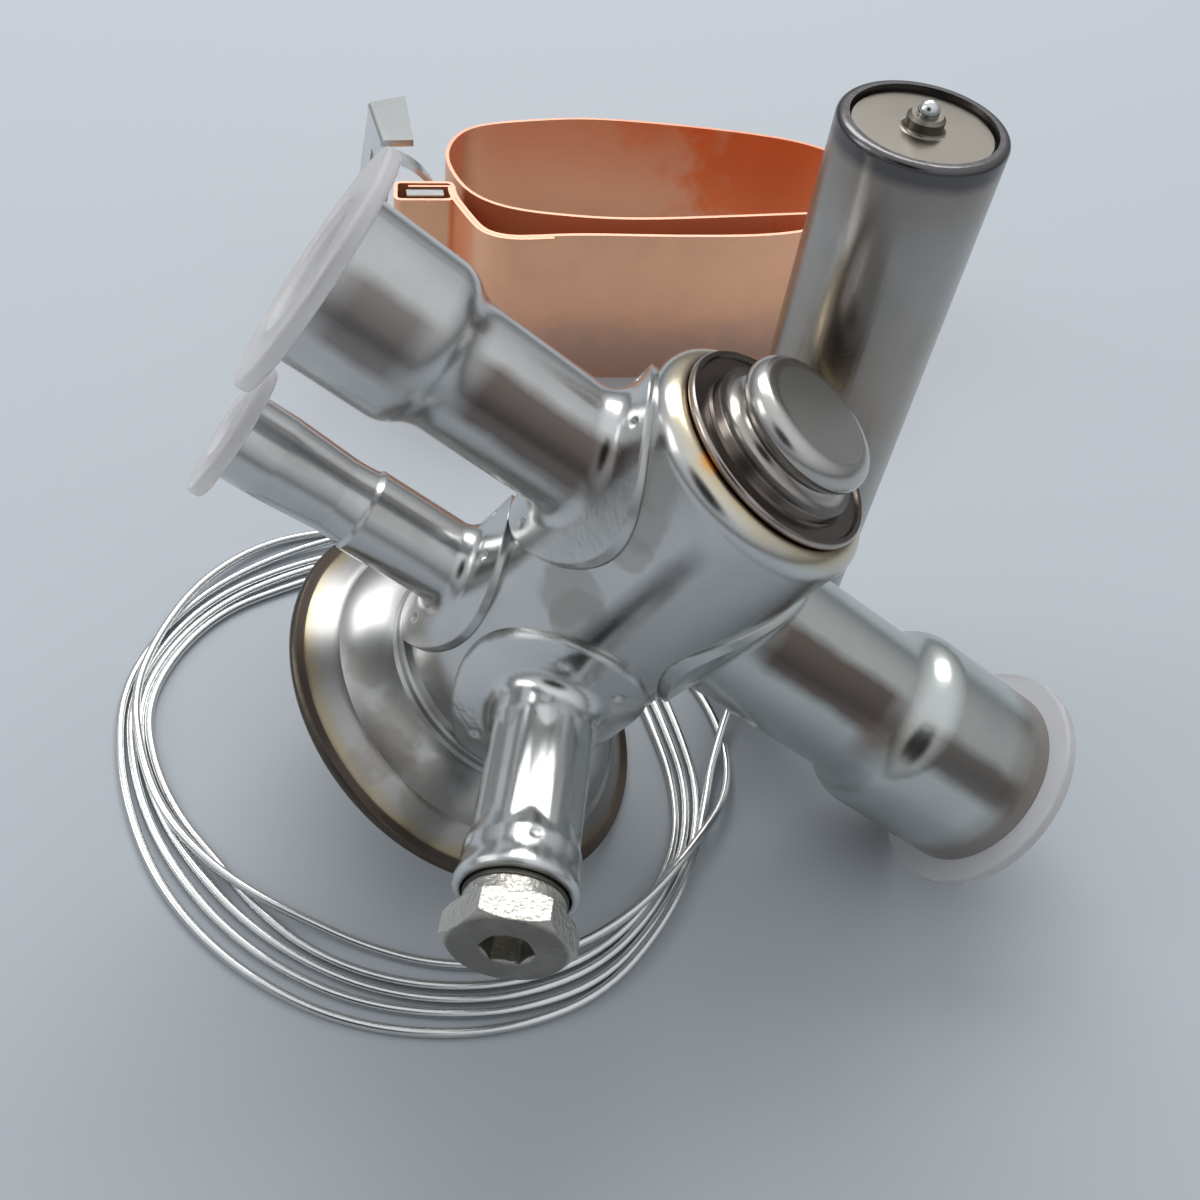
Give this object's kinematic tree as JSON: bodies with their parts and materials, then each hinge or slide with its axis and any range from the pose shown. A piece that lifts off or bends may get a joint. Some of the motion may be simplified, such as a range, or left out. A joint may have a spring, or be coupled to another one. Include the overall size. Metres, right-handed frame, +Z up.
{
  "type": "thermostatic expansion valve",
  "caption": "Lying thermostatic expansion valve of brazed steel tubes with a diaphragm element, a coiled capillary, a standing sensing bulb, a copper strap and plugged sockets",
  "frame": {"origin": "on the table under the middle of the box of everything but the capillary", "axes": "+Z up from the table, +X towards the outlet socket, +Y away from the cap nut towards the strap"},
  "size_m": [0.1255, 0.1696, 0.0893],
  "materials": {
    "steel_satin": "satin drawn stainless steel with brazing smears",
    "steel_bright": "brighter drawn steel",
    "steel_turned": "turned, heat tinted at the weld",
    "steel_dark": "dark heat-tinted weld bead",
    "nut_steel": "bright flats, dull end face",
    "brass": "machined",
    "copper": "rolled soft copper with bright sheared edges",
    "spring_steel": "wire",
    "capillary_steel": "bright drawn tube",
    "milky_plastic": "soft translucent polyethylene",
    "seal_rubber": "nitrile"
  },
  "bodies": {
    "valve": {"valve_body": "steel_satin", "inlet_pipe": "steel_bright", "equalizer_pipe": "steel_bright", "outlet_pipe": "steel_bright", "spindle_housing": "steel_bright", "gland_bush": "brass", "spindle_seal": "seal_rubber", "superheat_spring": "spring_steel", "seat_block": "brass", "valve_seat": "steel_turned", "rod_bush": "brass", "element_upper": "steel_satin", "element_lower": "steel_satin", "rim_weld": "steel_dark", "diaphragm": "steel_bright", "capillary_stub": "steel_turned", "end_plug": "steel_turned", "capillary_coil": "capillary_steel", "capillary_lead": "capillary_steel", "capillary_tail": "capillary_steel", "sensing_bulb": "steel_satin", "bulb_end_disc": "steel_turned", "charge_ball": "steel_bright", "strap_band": "copper", "buckle_plate": "steel_bright", "strap_hook": "steel_bright"},
    "stem": {"valve_cone": "steel_turned", "push_rod": "steel_turned", "spring_seat": "brass", "thrust_plate": "steel_turned"},
    "crown": {"crown_gear": "brass"},
    "plate": {"spring_plate": "brass"},
    "spindle": {"setting_spindle": "steel_turned", "spindle_circlip": "spring_steel"},
    "washer": {"nut_washer": "steel_dark"},
    "nut": {"cap_nut": "nut_steel"},
    "inlet_cap": {"inlet_plug": "milky_plastic"},
    "equalizer_cap": {"equalizer_plug": "milky_plastic"},
    "outlet_cap": {"outlet_plug": "milky_plastic"}
  },
  "joints": [
    {"name": "stem_slide", "type": "slide", "parent": "valve", "child": "stem", "axis": [0.5295, 0.0551, 0.8465], "range_m": [0, 0.0009], "stiffness_N_per_m": 900, "springref_m": -0.001, "deforming": ["superheat_spring"]},
    {"name": "crown_turn", "type": "hinge", "parent": "valve", "child": "crown", "pos_m": [-0.00328, -0.04052, 0.03293], "axis": [0.5295, 0.0551, 0.8465], "range_deg": [-180, 180]},
    {"name": "spindle_turn", "type": "hinge", "parent": "valve", "child": "spindle", "pos_m": [-0.00414, -0.06565, 0.03155], "axis": [0.0292, -0.9985, 0.0467], "range_deg": [-720, 720]},
    {"name": "plate_slide", "type": "slide", "parent": "valve", "child": "plate", "axis": [0.5295, 0.0551, 0.8465], "range_m": [-0.0005, 0.0005]},
    {"name": "nut_turn", "type": "hinge", "parent": "washer", "child": "nut", "pos_m": [-0.0037, -0.08062, 0.03226], "axis": [0.0292, -0.9985, 0.0467], "range_deg": [0, 1800]},
    {"name": "washer_slide", "type": "slide", "parent": "valve", "child": "washer", "axis": [0.0292, -0.9985, 0.0467], "range_m": [0, 0.005]},
    {"name": "inlet_cap_pull", "type": "slide", "parent": "valve", "child": "inlet_cap", "axis": [-0.8478, 0, 0.5303], "range_m": [0, 0.009]},
    {"name": "equalizer_cap_pull", "type": "slide", "parent": "valve", "child": "equalizer_cap", "axis": [-0.8478, 0, 0.5303], "range_m": [0, 0.009]},
    {"name": "outlet_cap_pull", "type": "slide", "parent": "valve", "child": "outlet_cap", "axis": [0.8478, 0, -0.5303], "range_m": [0, 0.009]}
  ],
  "couplings": [
    {"joint": "spindle_turn", "follows": "crown_turn", "ratio": -4},
    {"joint": "plate_slide", "follows": "crown_turn", "m_per_rad": -0.00015915},
    {"joint": "nut_turn", "follows": "washer_slide", "rad_per_m": 6283.2}
  ]
}
